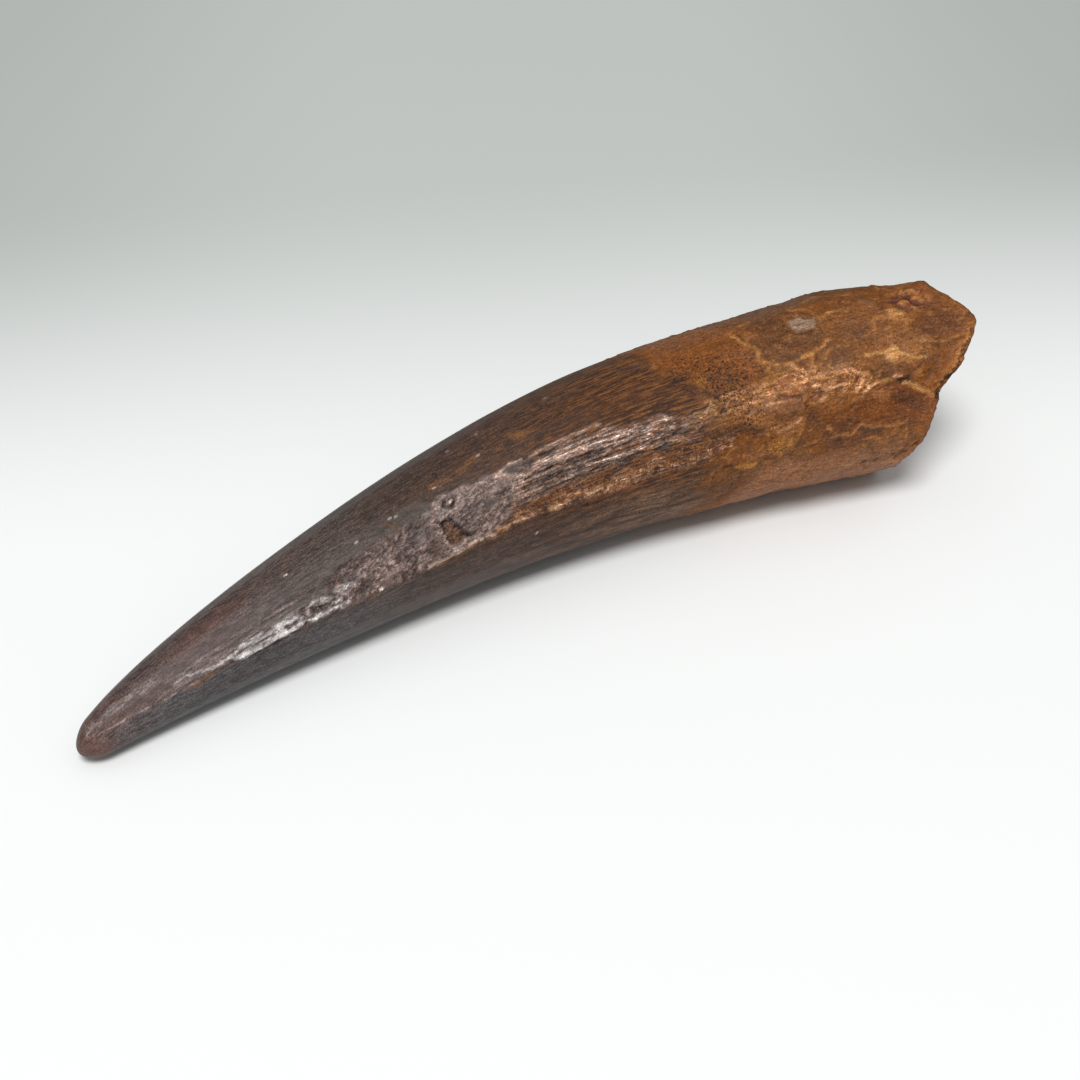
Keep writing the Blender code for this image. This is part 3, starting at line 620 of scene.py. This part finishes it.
def lay_crown(skin):
    """Dark enamel, brown towards the root, with fine lengthwise ridges and streaks."""
    skin.tint = tones(CROWN_TONES, skin.distance)
    on_crown = 1 - skin.on_root
    broad = skin.noise(0.15, 4, 3, 7)
    further = ramp(skin.distance, 40, 60)
    below = turn_from(skin.angle, through(FRONT_KEEL, skin.distance))
    low = ramp(below, 0, 8 + 16 * further) * (1 - ramp(turn_from(skin.angle, 280), 0, 30))
    low *= on_crown
    # The face below the front keel: its own tones with a painted grey reflection of the floor in them.
    skin.paint(0.9 * low, tones(LOW_TONES_AND_REFLECTION, skin.distance))
    # Painted shade darkens the top near the tip, and a painted sheen greys the upper side further along.
    upper = skin.facing(82, 24) * (1 - ramp(skin.distance, 15, 36))
    skin.tint *= (1 + 0.22 * broad - 0.28 * upper)[:, None]
    skin.paint(0.28 * skin.facing(76, 20) * further * on_crown, SHEEN_BROWN)
    base = ramp(skin.distance, 60, 94)
    skin.relief += (0.012 + 0.035 * base) * skin.noise(0.07, 0.8, 2, 3) * on_crown
    skin.rough = 0.4 + 0.2 * base
    patchy = ramp(skin.noise(0.12, 2.2, 3, 97), -0.4, 0.3)
    skin.streaks = (0.06 + 0.94 * base * (0.4 + 0.6 * patchy) * (1 - 0.75 * low)) * on_crown
    long_streaks = ripple(skin.straight * [0.045, 0.7, 0.7], 0.6, 3, 5)
    share = low * ramp(skin.distance, 56, 84)
    skin.relief += 0.05 * share * long_streaks
    pale = 0.4 + 0.4 * ramp(skin.distance, 82, 96)
    skin.paint(share * ramp(long_streaks, 0, 0.25) * pale, LOW_STREAK)
    skin.paint(share * ramp(-long_streaks, 0.08, 0.3) * 0.6, SOOT_AND_SHADE)


def lay_root(skin):
    """Brown and ochre bone with thin flaking plates."""
    share = skin.on_root
    mottle = skin.noise(0.6, 4, 5, 17)
    fleck = skin.noise(0.7, 1.1, 3, 29)
    skin.paint(share, ROOT_BROWN)
    skin.paint(share * ramp(mottle, 0, 0.5) * 0.6, ROOT_OCHRE)
    skin.paint(share * ramp(-mottle, 0.05, 0.5) * 0.6, ROOT_GREY)
    skin.paint(share * ramp(fleck, 0.3, 0.8) * 0.3, SMEAR)
    skin.tint *= (1 + 0.22 * share * fleck)[:, None]
    plates = skin.noise(0.5, 7, 4, 21) * 2.2
    steps = np.floor(plates) + ramp(plates - np.floor(plates), 0, 0.12)
    rims = skin.seams(0.7, 4.5, 0.06, 31) * ramp(fleck, -0.2, 0.1)
    creases = skin.seams(0.6, 3.6, 0.06, 33) * ramp(mottle, -0.2, 0.1)
    flakes = 0.12 * (steps - plates) + 0.07 * fleck + 0.05 * mottle
    skin.relief += share * (flakes + 0.14 * rims - 0.16 * creases)
    skin.paint(share * rims * 0.55, VEIN)
    skin.paint(share * creases * 0.8, RUST_DARK)
    skin.finish(share, rough=0.58, grain=0.17, hairs=0.2, glints=0.1)


def lay_strip(skin):
    """The bright flaked strip and the loose pieces after it: thin torn layers."""
    layers = skin.noise(0.1, 0.6, 3, 41)
    for outline, strength in ((ABOVE_STRIP, 0.7), (RAGGED, 0.45)):
        share = skin.within(outline, 2.5, 1) * ramp(layers, -0.1, 0.4)
        skin.relief += 0.08 * share
        skin.paint(share * strength, SHEEN)
        skin.finish(share, glints=0.25)
    share = skin.within(STRIP, 0.6, 0.5)
    curled = ramp(skin.distance, 28, 32)
    curls = (1 - 0.6 * curled) * layers + curled * skin.noise(0.7, 0.9, 3, 45)
    skin.relief += share * (0.18 * curls - 0.03)
    skin.paint(share * 0.85, DARK_GRAIN)
    skin.paint(share * ramp(curls, -0.45, 0.1) * 0.9, SILVER)
    skin.paint(share * ramp(curls, 0.05, 0.45) * 0.75, GLINT)
    skin.finish(share, rough=0.27, grain=0.12, hairs=0.5, glints=0.4)
    share = skin.within(PIECES, 0.5)
    lumps = skin.noise(0.7, 0.9, 3, 43)
    skin.relief += share * (0.2 * lumps - 0.05)
    skin.paint(share, DARK_GRAIN)
    skin.paint(share * ramp(lumps, -0.35, 0.2), SHEEN)
    skin.paint(share * ramp(lumps, 0.1, 0.5) * 0.7, SILVER)
    skin.finish(share, rough=0.29, grain=0.25, hairs=0.4, glints=0.4)


def lay_grains(skin):
    """The flaked patch: a floor a little sunken, of fine glossy grains."""
    upper = ramp(turn_from(skin.angle, 112), 0, 16) * (1 - ramp(skin.distance, 54, 60))
    share = skin.within(PATCH, 1.2, 0.5) * np.maximum(ramp(skin.distance, 54, 60), upper)
    grains = skin.noise(0.9, 0.75, 3, 47)
    swell = skin.noise(0.6, 3, 3, 53)
    rims = skin.seams(0.8, 1.5, 0.1, 49)
    cracks = skin.seams(0.8, 1.8, 0.07, 51)
    skin.relief += share * (0.13 * grains + 0.16 * swell + 0.12 * rims - 0.16 * cracks - 0.18)
    skin.paint(share * 0.92, PATCH_GREY)
    # Painted light from the grains' relief: lighter on crests, glints on rims, darker in hollows.
    skin.tint *= (1 + share * (0.18 * grains + 0.32 * swell))[:, None]
    skin.paint(share * ramp(grains + swell, 0.2, 0.9) * 0.6, PINK_GREY)
    skin.paint(share * rims * (0.3 + 0.37 * ramp(skin.distance, 56, 62)), GLINT_PINK)
    skin.paint(share * ramp(-grains - swell, 0.15, 0.6) * 0.8, DARK_GRAIN)
    skin.paint(share * cracks * 0.9, DARK_GRAIN)
    skin.finish(share, rough=0.3, grain=0.22, hairs=0.3, glints=0.45)


def lay_fibres(skin):
    """Long ridges with black grooves between, and the smoother orange band below."""
    share = skin.within(FIBRES, 1, 0.4) * (1 - 0.8 * ramp(skin.distance + 3 * skin.frayed, 98, 108))
    top, low = through(FIBRE_TOP, skin.distance), through(FIBRE_LOW, skin.distance)
    across = turn_from(skin.angle, top) / (low - top)
    wander = skin.noise(0.2, 2, 3, 73.75)
    wave = np.sin(2 * math.pi * FIBRE_COUNT * across + 3.6 * wander)
    fine = skin.noise(0.16, 0.6, 3, 67)
    lit = ramp(skin.noise(0.125, 2, 3, 72.5), -0.4, 0.3)
    lit *= 1 - 0.8 * ramp(across, 0.25, 0.4) * (1 - ramp(skin.distance, 79, 88))
    crest = ramp(wave + 0.9 * fine, -0.1, 0.9)
    groove = ramp(-wave, 0.7, 0.95)
    strands = skin.seams(0.1, 1.2, 0.12, 60)
    cuts = skin.seams(0.1, 1.3, 0.12, 62)
    skin.relief += share * (0.08 * wave + 0.08 * fine - 0.14 * groove + 0.14 * strands - 0.18 * cuts)
    skin.paint(share, FIBRE_PINK)
    skin.paint(share * ramp(-fine, 0.1, 0.5) * 0.8, FIBRE_DARK)
    # Painted highlights on the ridge crests, strongest where lit.
    skin.paint(share * crest * (0.15 + 0.65 * lit), FIBRE_GLINT)
    skin.paint(share * groove * 0.75, SOOT_AND_SHADE)
    skin.paint(share * cuts * 0.95, BLACK)
    skin.paint(share * strands * (0.2 + 0.8 * lit), GLINT_PINK)
    skin.finish(share, rough=0.32, grain=0.2, hairs=1.2, glints=0.55)
    share = skin.within(BAND, 1.2, 0.4)
    creases = skin.noise(2.5, 2, 2, 157.5)
    skin.relief += share * (0.06 * fine + 0.08 * creases)
    broad = skin.noise(0.3, 2.2, 3, 65)
    skin.paint(share * 0.9, BAND_ORANGE)
    skin.paint(share * ramp(broad, 0, 0.5) * 0.5, OLIVE)
    skin.paint(share * ramp(-fine, 0.12, 0.5) * 0.8, FIBRE_DARK)
    # Painted glints on the band's raised streaks.
    skin.paint(share * ramp(fine, 0.15, 0.4) * 0.35, GLINT_PALE)
    skin.finish(share, rough=0.38, grain=0.26, hairs=0.9, glints=0.3)
    # Painted glints along the band's crest.
    crest = share * skin.facing(160, 3.5)
    skin.paint(crest * ramp(creases, 0, 0.3) * 0.4, GLINT_PALE)
    skin.finish(crest, glints=0.8)


def lay_painted_back_shade(skin):
    """Painted shade: the far side is darker than the side that shows its damage."""
    skin.tint *= (1 - 0.45 * skin.facing(38, 22))[:, None]


def lay_patches(skin):
    for soft, height, colour, strength, rough, outline in PATCHES:
        share = skin.within(outline, soft)
        skin.relief += height * share
        skin.paint(share * strength, colour)
        skin.finish(share, rough=rough, hairs=0.5)


def lay_lines(skin):
    """Cracks, veins and crests, painted highlights and shadow, all a little uneven along their length."""
    uneven = 0.45 + 0.55 * ramp(ripple(skin.straight, 1.3, 3, 91), -0.3, 0.2)
    for half_width, height, colour, strength, *lines in LINES:
        for line in lines:
            share = uneven * bell(near(line, *skin.cracked), half_width)
            skin.relief += height * share
            skin.paint(np.minimum(share * strength, 1), colour)


def lay_bumps(skin):
    """Small glossy bumps along some lines, with painted highlights on their tops, and single pale specks.
    """
    share = np.zeros_like(skin.distance)
    for line in BUMPS:
        share = np.maximum(share, 1 - ramp(near(line, *skin.ragged), 0.6, 1.9))
    bumps = ramp(skin.noise(0.4, 0.8, 3, 71), 0.05, 0.35)
    skin.relief += share * 0.2 * bumps
    # Painted highlights on the bumps' tops.
    skin.paint(share * bumps * 0.28, PALE_OCHRE)
    skin.finish(share, glints=0.6)
    skin.finish(share * bumps, rough=0.27, grain=0.4)
    for at, at_angle, size in SPECKS:
        share = bell(skin.gap(at, at_angle, 1.5) ** 2, (0.9 * size) ** 2)
        skin.relief += 0.08 * share
        skin.paint(share, SPECK_WHITE)


def lay_pits(skin):
    for at, at_angle, reach, thick in PITTED:
        beyond = ramp(skin.gap(at, at_angle), 0.5 * reach, 1.2 * reach)
        skin.pits = np.maximum(skin.pits, thick * (1 - beyond))
    hollows = ramp(-ripple(skin.straight, 0.7, 3, 73), 0.2, 0.6)
    skin.relief -= 0.12 * hollows * skin.pits
    skin.paint(0.4 * hollows * skin.pits, FIBRE_DARK)


def lay_broken_end(skin, edge):
    """The rough top of the root and the crumbling edge of the break."""
    rough = skin.noise(0.8, 1.5, 4, 79)
    share = 1 - ramp(skin.gap(*ROUGH_TOP), 2.2, 4.2)
    skin.relief += share * 1.1 * rough
    skin.paint(share * 0.75, RED_LUMP)
    skin.paint(share * ramp(-rough, 0, 0.15) * 0.9, DARK_RED)
    skin.paint(share * ramp(rough, 0.1, 0.22) * 0.75, VEIN)
    crumbs = ripple(skin.straight, 1, 3, 83)
    to_edge = edge - skin.distance + 0.5 * crumbs
    facing = bell(turn_from(skin.angle, 141) ** 2, 18**2)
    width = 0.25 + 1.45 * facing
    share = 1 - ramp(to_edge - width, -0.5, 0)
    rim = bell(to_edge - width, 0.35) * facing
    skin.relief += share * 0.35 * crumbs + 0.12 * rim - 0.4 * facing * (1 - ramp(to_edge, 0, 2))
    skin.paint((0.24 + 0.3 * facing) * (1 - ramp(to_edge, 1, 6)), BREAK_TAN)
    skin.paint(share * 0.45, RUST_DARK)
    skin.paint(share * ramp(crumbs, 0, 0.3) * 0.8, YELLOW)
    skin.paint(share * ramp(-crumbs, 0.15, 0.4) * 0.9, SOOT_AND_SHADE)
    skin.paint(rim * ramp(crumbs, -0.4, 0) * 0.7, VEIN)
    skin.finish(share, rough=0.62, grain=0.5)


def laid_skin(distance, angle, edge):
    skin = Skin(distance, angle)
    for lay in (
        lay_form, lay_crown, lay_root, lay_strip, lay_grains, lay_fibres, lay_painted_back_shade, lay_patches,
        lay_bumps, lay_lines, lay_pits,
    ):
        lay(skin)
    lay_broken_end(skin, edge)
    skin.tint *= 1 + skin.on_root[:, None] * (np.array(ROOT_WARMTH) - 1)
    return skin


def side_point(distance, angle, relief):
    """The point of the side at each distance and angle, in millimetres."""
    x, y, heading = axis_at(distance)
    taper = base_radius(distance)
    to_tip = 1 - np.clip(distance / TIP_LENGTH, 0, 1)
    x -= TIP_REACH * to_tip**2 * np.cos(heading)
    y -= TIP_REACH * to_tip**2 * np.sin(heading)
    radius = (taper + relief) * np.sqrt(1 - to_tip**2)
    out = radius * np.cos(np.radians(angle))
    up = radius * np.sin(np.radians(angle))
    return np.stack([x - out * np.sin(heading), y + out * np.cos(heading), taper + up], -1)


def ragged_break(angle):
    """Where the root broke off, with the small teeth of the fracture's edge."""
    turn = np.radians(angle)
    ring = np.stack([np.cos(turn), np.sin(turn), np.zeros_like(turn)], -1) * ROOT_RADIUS
    return through(BREAK, angle) + 0.55 * ripple(ring, 3.5, 4) - 0.1


def break_point(share, edge):
    """The point of the break: share is 1 at its edge and 0 at its middle."""
    middle_distance = np.mean(through(BREAK, np.arange(0, 360, 10)))
    x, y, heading = axis_at(middle_distance)
    middle = np.array([x, y, base_radius(middle_distance)])
    forward = np.array([math.cos(heading), math.sin(heading), 0])
    edge = edge - middle
    along = edge @ forward
    place = middle + (edge - along[:, None] * forward) * share[:, None]
    rough = BREAK_ROUGHNESS * ripple(place, 7) + 0.45 * ripple(place, 2.4, 4, 9)
    height = along * share**1.6 - BREAK_DISH * (1 - share**2) + rough * ramp(1 - share, 0, 0.2)
    return place + height[:, None] * forward


def lay_break(skin, broken, places):
    """The broken end's colours: tan bone with a darker filling in the middle."""
    mottle = ripple(places[broken], 3, 4, 89)
    middle = places[broken].mean(0)
    out = np.linalg.norm(places[broken] - middle, axis=1) / ROOT_RADIUS
    core = 1 - ramp(out + 0.12 * mottle, 0.35, 0.55)
    tone = np.array(BREAK_TAN) + ramp(mottle, -0.5, 0.6)[:, None] * (np.array(ROOT_BROWN) - BREAK_TAN)
    tone += (0.7 * core)[:, None] * (ROOT_GREY - tone)
    skin.tint[broken] = tone
    for name, value in ON_BREAK.items():
        getattr(skin, name)[broken] = value
    skin.pits[broken] = 0.5 * core + 0.3
    skin.straight[broken] = places[broken] + [LENGTH, 0, 0]


def set_field(mesh, name, values):
    """Keeps a value, or a vector, at each vertex for the material to read."""
    kind, key = ("FLOAT_VECTOR", "vector") if values.ndim == 2 else ("FLOAT", "value")
    layer = mesh.attributes.new(name, kind, "POINT")
    layer.data.foreach_set(key, np.ascontiguousarray(values, np.float32).ravel())


def tooth_mesh():
    """A sphere of rings and columns whose vertices are laid on the tooth."""
    mesh = bpy.data.meshes.new("fossil_tooth")
    shape = bmesh.new()
    rings = SIDE_RINGS + BREAK_RINGS
    bmesh.ops.create_uvsphere(shape, u_segments=COLUMNS, v_segments=rings, radius=1)
    shape.to_mesh(mesh)
    shape.free()

    sphere = np.array([vertex.co for vertex in mesh.vertices])
    ring = np.rint(np.arccos(np.clip(-sphere[:, 2], -1, 1)) / math.pi * rings)
    turn = np.degrees(np.arctan2(sphere[:, 1], sphere[:, 0])) % 360
    angle = (turn - math.degrees(CROWDING) * np.sin(np.radians(turn - CROWDED_ANGLE))) % 360
    on_tip = TIP_LENGTH * (1 - np.cos(math.pi / 2 * np.clip(ring / TIP_RINGS, 0, 1)))
    share = np.clip((ring - TIP_RINGS) / (SIDE_RINGS - TIP_RINGS), 0, 1)
    edge = ragged_break(angle)
    distance = on_tip + share * (edge - on_tip)
    skin = laid_skin(distance, angle, edge)
    points = side_point(distance, angle, skin.relief)
    broken = ring > SIDE_RINGS
    points[broken] = break_point(1 - (ring[broken] - SIDE_RINGS) / BREAK_RINGS, points[broken])
    lay_break(skin, broken, points)

    low, high = np.array(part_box("tooth")) / MM
    points = np.clip(points + low - points.min(0), low, high)
    mesh.vertices.foreach_set("co", (points * MM).ravel())
    mesh.shade_smooth()
    mesh.update()
    for name in ("straight", "tint", "rough", "grain", "streaks", "hairs", "pits", "glints"):
        set_field(mesh, name, getattr(skin, name))
    return mesh


# ------------ materials
# A pit opens where noise is under this edge, which rises by up to PIT_RISE where pits are laid.
PIT_EDGE = 0.24
PIT_RISE = 0.23
SPECULAR = 0.2


class Paint:
    """A material or a world whose nodes are made one step at a time."""

    def __init__(self, data, shader="Principled BSDF"):
        self.data = data
        data.use_nodes = True
        self.tree = data.node_tree
        self.sockets = self.tree.nodes[shader].inputs

    def add(self, kind, inputs, **settings):
        node = self.tree.nodes.new(kind)
        for key, value in settings.items():
            setattr(node, key, value)
        for key, value in inputs.items():
            self.plug(node.inputs[key], value)
        return node

    def plug(self, socket, value):
        if isinstance(value, bpy.types.NodeSocket):
            self.tree.links.new(value, socket)
        elif value is not None:
            socket.default_value = (*value, 1) if socket.type == "RGBA" else value

    def field(self, name, vector=False):
        node = self.add("ShaderNodeAttribute", {}, attribute_name=name)
        return node.outputs["Vector" if vector else "Fac"]

    def math(self, operation, a, b=None):
        return self.add("ShaderNodeMath", {0: a, 1: b}, operation=operation).outputs[0]

    def scaled(self, vector, factors):
        return self.add("ShaderNodeVectorMath", {0: vector, 1: factors}, operation="MULTIPLY").outputs[0]

    def fade(self, value, low, high, start=0, end=1):
        """start below low, end above high, and smooth between them."""
        inputs = {"Value": value, "From Min": low, "From Max": high, "To Min": start, "To Max": end}
        node = self.add("ShaderNodeMapRange", inputs, interpolation_type="SMOOTHSTEP")
        return node.outputs["Result"]

    def times(self, a, b):
        return self.math("MULTIPLY", a, b)

    def lighten(self, share):
        """Makes the colour lighter by a share of itself, or darker where that is negative."""
        self.colour = self.scaled(self.colour, self.math("ADD", share, 1))

    def cover(self, share, colour):
        self.colour = self.mix(share, self.colour, colour)

    def noise(self, vector, size, detail=3, roughness=0.55, stretch=1):
        """Noise with lumps of this size, drawn out lengthwise where stretch is under 1."""
        vector = self.scaled(vector, (stretch, 1, 1))
        inputs = {"Vector": vector, "Scale": 1 / size, "Detail": detail, "Roughness": roughness}
        return self.add("ShaderNodeTexNoise", inputs).outputs["Fac"]

    def mix(self, share, a, b):
        # Of this node's sockets, these are the ones for colours.
        return self.add("ShaderNodeMix", {0: share, 6: a, 7: b}, data_type="RGBA").outputs[2]

    def bump(self, height, strength, depth, normal=None):
        """The depth is in millimetres, and the height is a share of it."""
        inputs = {"Distance": depth * MM, "Strength": strength, "Height": height, "Normal": normal}
        return self.add("ShaderNodeBump", inputs).outputs["Normal"]


def tooth_material():
    """The colours laid on the surface, with grain, streaks and pits too fine for its mesh."""
    paint = Paint(bpy.data.materials.new("fossil_tooth"))
    place = paint.field("straight", vector=True)
    streak = paint.noise(place, 0.27, 3, 0.6, 0.07)
    hairs = paint.noise(place, 0.36, 3, 0.65, 0.16)
    torn = paint.noise(place, 0.34, 3, 0.7, 0.75)
    sparks = paint.noise(place, 0.9, 2, 0.5, 0.7)
    seams = paint.noise(place, 1.5, 4, 0.6, 0.55)
    dust = paint.noise(place, 0.24, 2, 0.7)
    grain = paint.field("grain")
    streaks = paint.field("streaks")

    # Fine dust and hair-thin streaks.
    paint.colour = paint.field("tint", vector=True)
    dusty = paint.fade(paint.field("hairs"), 0, 1, 0.45, 1)
    paint.lighten(paint.times(dusty, paint.fade(dust, 0.35, 0.65, -0.4, 0.46)))
    hair = paint.fade(hairs, 0.35, 0.65, -0.42, 0.48)
    paint.lighten(paint.times(paint.field("hairs"), hair))
    paint.cover(paint.times(streaks, paint.fade(streak, 0.53, 0.58)), STREAK_ORANGE)
    paint.cover(paint.times(streaks, paint.fade(streak, 0.48, 0.42, 0, 0.8)), STREAK_DARK)

    # Torn grain: painted shade in its hollows and painted highlights on its crests.
    hollows, crests = paint.fade(torn, 0.36, 0.5, -1, 0), paint.fade(torn, 0.5, 0.65, 0, 1.7)
    paint.lighten(paint.times(grain, paint.math("ADD", hollows, crests)))
    paint.cover(paint.times(grain, paint.fade(torn, 0.5, 0.65, 0, 0.15)), GLINT)
    # Thin dark seams where the grain is strong.
    off_seam = paint.math("ABSOLUTE", paint.math("SUBTRACT", seams, 0.5))
    seam = paint.times(paint.fade(grain, 0.11, 0.17), paint.fade(off_seam, 0.006, 0.028, -0.34, 0))
    paint.lighten(seam)

    # Painted glints along thin threads, then pits.
    off_line = paint.math("ABSOLUTE", paint.math("SUBTRACT", sparks, 0.5))
    some = paint.fade(paint.noise(place, 1.3, 2), 0.42, 0.56)
    glint = paint.times(paint.fade(off_line, 0.012, 0.042, 1, 0), some)
    glint = paint.times(paint.field("glints"), glint)
    paint.lighten(paint.times(glint, 1.9))
    paint.cover(paint.times(glint, 0.14), GLINT)
    level = paint.math("SUBTRACT", paint.noise(place, 0.36, 3, 0.65), PIT_EDGE)
    level = paint.math("ADD", level, paint.times(paint.field("pits"), -PIT_RISE))
    in_pit = paint.fade(level, -0.04, 0, 0.92, 0)
    paint.cover(in_pit, BLACK)
    paint.plug(paint.sockets["Base Color"], paint.colour)

    rough = paint.math("ADD", paint.field("rough"), paint.fade(dust, 0.3, 0.7, -0.06, 0.06))
    paint.plug(paint.sockets["Roughness"], rough)
    paint.sockets["Specular IOR Level"].default_value = SPECULAR

    normal = paint.bump(streak, streaks, 0.1)
    normal = paint.bump(dust, 0.6, 0.08, normal)
    normal = paint.bump(torn, grain, 0.25, normal)
    normal = paint.bump(glint, 0.6, 0.08, normal)
    normal = paint.bump(in_pit, 0.5, -0.1, normal)
    paint.plug(paint.sockets["Normal"], normal)
    return paint.data


# ------------ the studio
VIEW_AZIMUTH = -28.4
VIEW_HEIGHT_ANGLE = 42
VIEW_DISTANCE = 309.4
VIEW_WIDTH_ANGLE = 30
VIEW_TARGET = (0.1, -5.5, 10)
SENSOR = 36
CLIP_START = 0.01
KEY_AZIMUTH = -33
KEY_HEIGHT_ANGLE = 66
KEY_DISTANCE = 1.6
KEY_SIZE = 0.6
KEY_POWER = 19.8
PAPER = (0.85, 0.86, 0.85)
FAR_PAPER = (0.5, 0.527, 0.505)
SIDE_PAPER = (0.43, 0.453, 0.434)
# In metres: where the paper turns grey behind the tooth, where that darkens sideways, and half its width.
BACK_FADE = (0.01, 0.122)
SIDE_FADE = (0.03, 0.13)
FLOOR_SIZE = 3
# How much further forward the grey begins for each metre to the left.
FLOOR_LEAN = 0.14
ROOM_COLOUR = (0.97, 0.99, 1)
# The room's brightness at the height of the floor, and overhead.
ROOM_BRIGHTNESS = (0.07, 0.62)


def direction(azimuth, height_angle):
    """The unit vector from the tooth towards a place; azimuth 0 looks along +Y."""
    a, e = math.radians(azimuth), math.radians(height_angle)
    return Vector((math.sin(a) * math.cos(e), -math.cos(a) * math.cos(e), math.sin(e)))


def aimed(place, target):
    """Where an object stands to look from a place at a target."""
    return Matrix.LocRotScale(place, (target - place).to_track_quat("-Z", "Y"), None)


def shown(name, data):
    """A new object in the scene."""
    thing = bpy.data.objects.new(name, data)
    bpy.context.scene.collection.objects.link(thing)
    return thing


def add_camera():
    data = bpy.data.cameras.new("camera")
    data.sensor_width = SENSOR
    data.lens = SENSOR / 2 / math.tan(math.radians(VIEW_WIDTH_ANGLE / 2))
    data.clip_start = CLIP_START
    camera = bpy.context.scene.camera = shown("camera", data)
    target = Vector(VIEW_TARGET) * MM
    away = direction(VIEW_AZIMUTH, VIEW_HEIGHT_ANGLE) * VIEW_DISTANCE * MM
    camera.matrix_world = aimed(target + away, target)


def add_light():
    data = bpy.data.lights.new("key", "AREA")
    data.shape = "DISK"
    data.size = KEY_SIZE
    data.energy = KEY_POWER
    place = direction(KEY_AZIMUTH, KEY_HEIGHT_ANGLE) * KEY_DISTANCE
    shown("key", data).matrix_world = aimed(place, Vector((0, 0, 0)))


def add_world():
    """A room that is brightest overhead."""
    paint = Paint(bpy.data.worlds.new("soft_room"), "Background")
    place = paint.add("ShaderNodeTexCoord", {}).outputs["Generated"]
    up = paint.add("ShaderNodeSeparateXYZ", {0: place}).outputs["Z"]
    low, high = ROOM_BRIGHTNESS
    rise = paint.add("ShaderNodeMapRange", {"Value": up, "To Min": low, "To Max": high})
    paint.plug(paint.sockets["Color"], ROOM_COLOUR)
    paint.plug(paint.sockets["Strength"], rise.outputs["Result"])
    bpy.context.scene.world = paint.data


def add_floor():
    """Pale paper that turns grey behind the tooth."""
    paint = Paint(bpy.data.materials.new("pale_paper"))
    place = paint.add("ShaderNodeTexCoord", {}).outputs["Object"]
    along, back = paint.add("ShaderNodeSeparateXYZ", {0: place}).outputs[:2]
    back = paint.math("SUBTRACT", back, paint.times(along, FLOOR_LEAN))
    tone = paint.fade(back, *BACK_FADE)
    side = paint.fade(paint.math("ABSOLUTE", along), *SIDE_FADE)
    far_tone = paint.mix(side, FAR_PAPER, SIDE_PAPER)
    paint.plug(paint.sockets["Base Color"], paint.mix(tone, PAPER, far_tone))
    paint.sockets["Roughness"].default_value = 0.9
    paint.sockets["Specular IOR Level"].default_value = SPECULAR
    mesh = bpy.data.meshes.new("floor")
    shape = bmesh.new()
    bmesh.ops.create_grid(shape, x_segments=4, y_segments=4, size=FLOOR_SIZE)
    shape.to_mesh(mesh)
    shape.free()
    mesh.materials.append(paint.data)
    floor = shown("floor", mesh)
    floor.rotation_euler.z = math.radians(VIEW_AZIMUTH)


def add_tooth():
    tooth = shown("fossil_tooth", tooth_mesh())
    tooth.data.materials.append(tooth_material())
    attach(tooth, "root")
    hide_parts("tooth")


add_camera()
add_world()
add_light()
add_floor()
add_tooth()
bpy.context.scene.view_settings.view_transform = "Standard"
